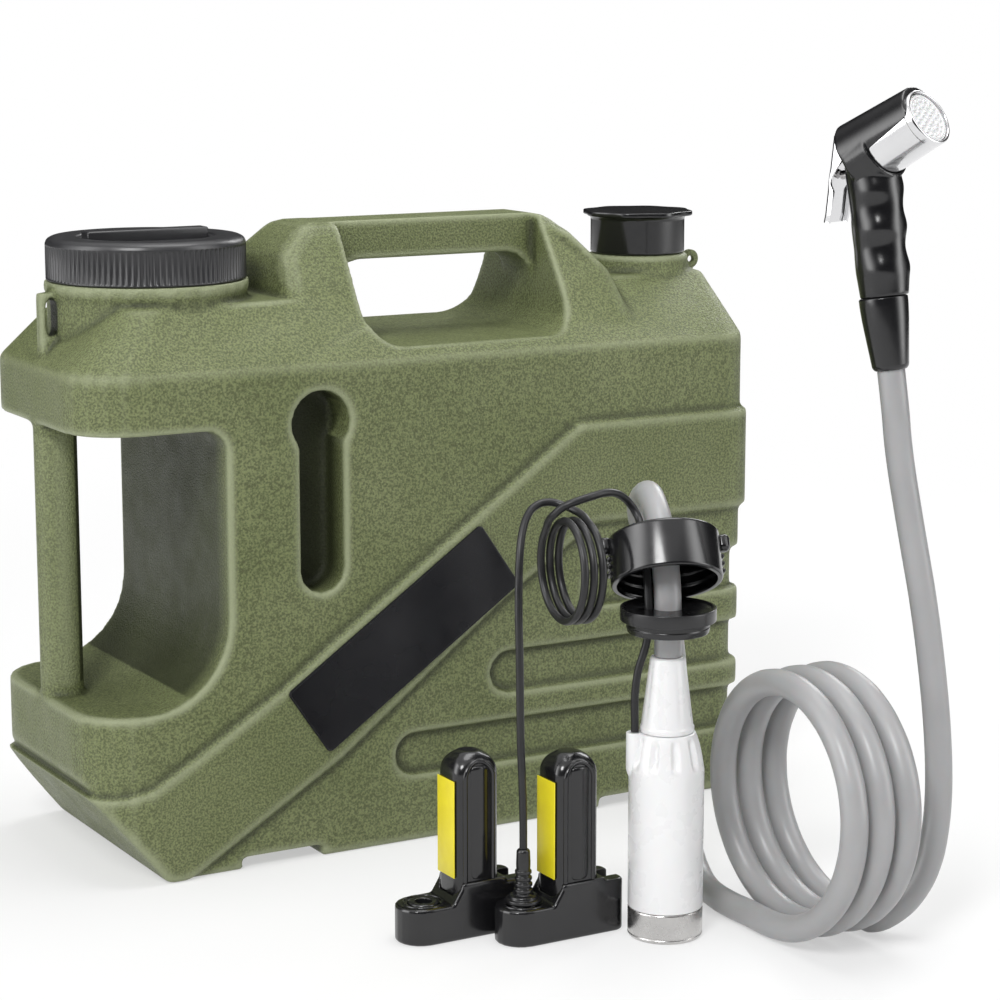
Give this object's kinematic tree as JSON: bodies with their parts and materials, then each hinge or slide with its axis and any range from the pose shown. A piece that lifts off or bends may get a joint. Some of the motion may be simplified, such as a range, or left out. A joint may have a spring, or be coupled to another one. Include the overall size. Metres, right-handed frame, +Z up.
{
  "type": "portable shower kit",
  "caption": "Plastic water can with a carrying handle, beside a submersible pump, battery packs, a coiled hose and a trigger spray handset.",
  "frame": {"origin": "on the floor under the middle of the can", "axes": "+X along the can towards its spout, -Y towards the pump and the viewer, +Z up"},
  "size_m": [0.4495, 0.4794, 0.4479],
  "materials": {
    "olive": "pebbled",
    "black": "satin",
    "rubber": "matte",
    "white": "gloss",
    "steel": "brushed",
    "chrome": "polished",
    "hose": "satin",
    "yellow": "satin",
    "board": "satin",
    "cell": "satin"
  },
  "bodies": {
    "kit": {"tank_shell": "olive", "label_plate": "black", "pump_base_ring": "steel", "pump_screen": "steel", "pump_diffuser": "white", "pump_seal": "rubber", "pump_motor": "steel", "pump_housing": "white", "pump_nose": "white", "stopper": "rubber", "collar_grommet": "rubber", "hose_feed": "hose", "hose_coil": "hose", "hose_riser": "hose", "cable_lower": "rubber", "cable_coil": "rubber", "cable_upper": "rubber", "cable_plug": "rubber", "handset_grip": "black", "handset_barrel": "chrome", "spray_face": "white", "hose_nut": "black", "lever_pin": "steel", "valve_cartridge": "white", "pack_1_foot": "black", "pack_1_tower": "black", "pack_1_label": "yellow", "pack_1_cell": "cell", "pack_1_board": "board", "pack_1_socket": "black", "pack_2_foot": "black", "pack_2_tower": "black", "pack_2_label": "yellow", "pack_2_cell": "cell", "pack_2_board": "board", "pack_2_socket": "black"},
    "lid_ring": {"lid_gasket": "rubber"},
    "lid": {"lid": "black"},
    "spout_ring": {"spout_gasket": "rubber"},
    "spout_cap": {"spout_cap": "black"},
    "impeller": {"pump_impeller": "white", "pump_shaft": "steel"},
    "collar": {"collar": "black"},
    "lever": {"trigger_lever": "chrome"},
    "plunger": {"valve_plunger": "steel"}
  },
  "joints": [
    {"name": "lid_rise", "type": "slide", "parent": "kit", "child": "lid_ring", "axis": [0, 0, 1], "range_m": [0, 0.02]},
    {"name": "lid_turn", "type": "hinge", "parent": "lid_ring", "child": "lid", "pos_m": [-0.151, 0, 0.333], "axis": [0, 0, 1], "range_deg": [0, 900]},
    {"name": "cap_rise", "type": "slide", "parent": "kit", "child": "spout_ring", "axis": [0, 0, 1], "range_m": [0, 0.021]},
    {"name": "cap_turn", "type": "hinge", "parent": "spout_ring", "child": "spout_cap", "pos_m": [0.182, 0, 0.3325], "axis": [0, 0, 1], "range_deg": [0, 1260]},
    {"name": "impeller_spin", "type": "hinge", "parent": "kit", "child": "impeller", "pos_m": [0.017, -0.2895, 0], "axis": [0, 0, 1], "continuous": true},
    {"name": "collar_turn", "type": "hinge", "parent": "kit", "child": "collar", "pos_m": [0.01819, -0.28654, 0.19031], "axis": [0.1977, 0.4917, 0.848], "continuous": true},
    {"name": "lever_press", "type": "hinge", "parent": "kit", "child": "lever", "pos_m": [0.10642, -0.31793, 0.41726], "axis": [-0.9563, -0.2924, 0], "range_deg": [0, 14], "stiffness_Nm_per_rad": 0.5, "springref_deg": -8.59},
    {"name": "plunger_push", "type": "slide", "parent": "kit", "child": "plunger", "axis": [0.2885, -0.9437, 0.1616], "range_m": [0, 0.0045]}
  ],
  "couplings": [
    {"joint": "lid_rise", "follows": "lid_turn", "m_per_rad": 0.0012732},
    {"joint": "cap_rise", "follows": "cap_turn", "m_per_rad": 0.00095493},
    {"joint": "plunger_push", "follows": "lever_press", "m_per_rad": 0.0164}
  ]
}
